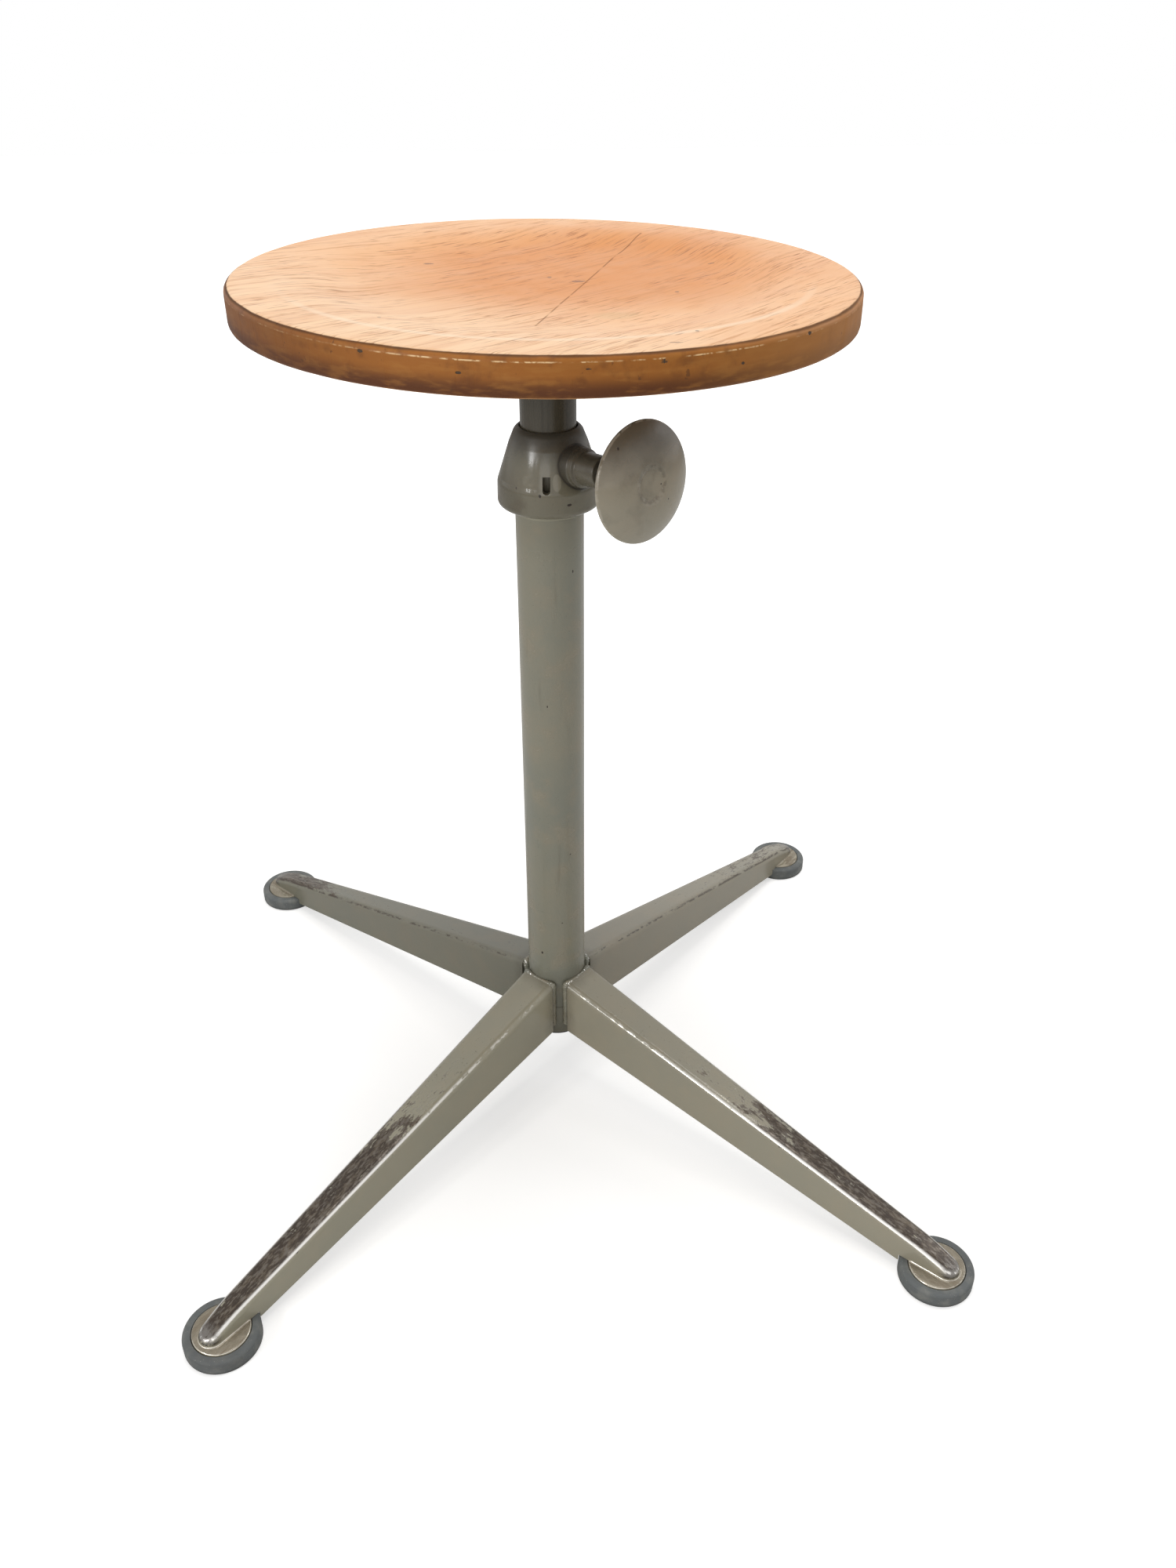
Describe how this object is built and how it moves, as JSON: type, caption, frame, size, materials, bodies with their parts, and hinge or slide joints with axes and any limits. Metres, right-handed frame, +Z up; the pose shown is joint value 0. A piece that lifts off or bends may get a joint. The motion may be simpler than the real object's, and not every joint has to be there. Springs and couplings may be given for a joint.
{
  "type": "machinist stool",
  "caption": "Height-adjustable workshop stool: dished round plywood seat on a sliding, turning post held by a side clamp knob, on splayed pressed-steel legs with rubber feet.",
  "frame": {"origin": "on the floor, on the column's axis", "axes": "+Z up along the column; legs on the diagonals; -Y is the front, and the clamp knob is to the front right"},
  "size_m": [0.517, 0.517, 0.596],
  "materials": {
    "enamel_column": "semi-gloss putty enamel",
    "enamel_leg": "semi-gloss putty enamel, worn to dark metal on the ridges",
    "enamel_head": "semi-gloss putty enamel",
    "enamel_knob": "semi-gloss putty enamel",
    "enamel_post": "semi-gloss putty enamel",
    "enamel_weld": "painted weld bead",
    "enamel_bracket": "putty enamel",
    "seat_ply": "clear lacquered plywood",
    "rubber_grey": "grey-blue rubber",
    "screw_steel": "plain steel",
    "pin_steel": "plain steel",
    "brass_pad": "machined brass",
    "bush_nylon": "moulded nylon",
    "plug_black": "moulded black plastic"
  },
  "bodies": {
    "base": {"column_tube": "enamel_column", "column_plug": "plug_black", "guide_bush": "bush_nylon", "hub_welds": "enamel_weld", "clamp_head": "enamel_head", "clamp_sleeve": "enamel_head", "leg_front_left": "enamel_leg", "leg_front_right": "enamel_leg", "leg_rear_right": "enamel_leg", "leg_rear_left": "enamel_leg", "foot_pad_front_left": "rubber_grey", "foot_pad_front_right": "rubber_grey", "foot_pad_rear_right": "rubber_grey", "foot_pad_rear_left": "rubber_grey"},
    "guide_ring": {"stop_ring": "bush_nylon"},
    "seat": {"post_tube": "enamel_post", "post_foot_plug": "screw_steel", "post_foot_pin": "pin_steel", "seat_socket": "enamel_bracket", "socket_gussets": "enamel_bracket", "socket_bolt": "screw_steel", "socket_nut": "screw_steel", "seat_plate": "enamel_bracket", "seat_screws": "pin_steel", "screw_washers": "pin_steel", "seat_board": "seat_ply"},
    "pad": {"clamp_pad": "brass_pad"},
    "knob": {"clamp_screw": "screw_steel", "clamp_knob": "enamel_knob", "knob_pin": "pin_steel"}
  },
  "joints": [
    {"name": "seat_height", "type": "slide", "parent": "base", "child": "guide_ring", "axis": [0, 0, 1], "range_m": [-0.04, 0.12]},
    {"name": "seat_swivel", "type": "hinge", "parent": "guide_ring", "child": "seat", "pos_m": [0, 0, 0.57], "axis": [0, 0, 1], "continuous": true},
    {"name": "pad_slide", "type": "slide", "parent": "base", "child": "pad", "axis": [0.5842, -0.8071, 0.0854], "range_m": [0, 0.00225]},
    {"name": "knob_turn", "type": "hinge", "parent": "pad", "child": "knob", "pos_m": [0.04703, -0.06497, 0.49638], "axis": [0.5842, -0.8071, 0.0854], "range_deg": [0, 540.5]}
  ],
  "couplings": [
    {"joint": "knob_turn", "follows": "pad_slide", "rad_per_m": 4188.8}
  ]
}
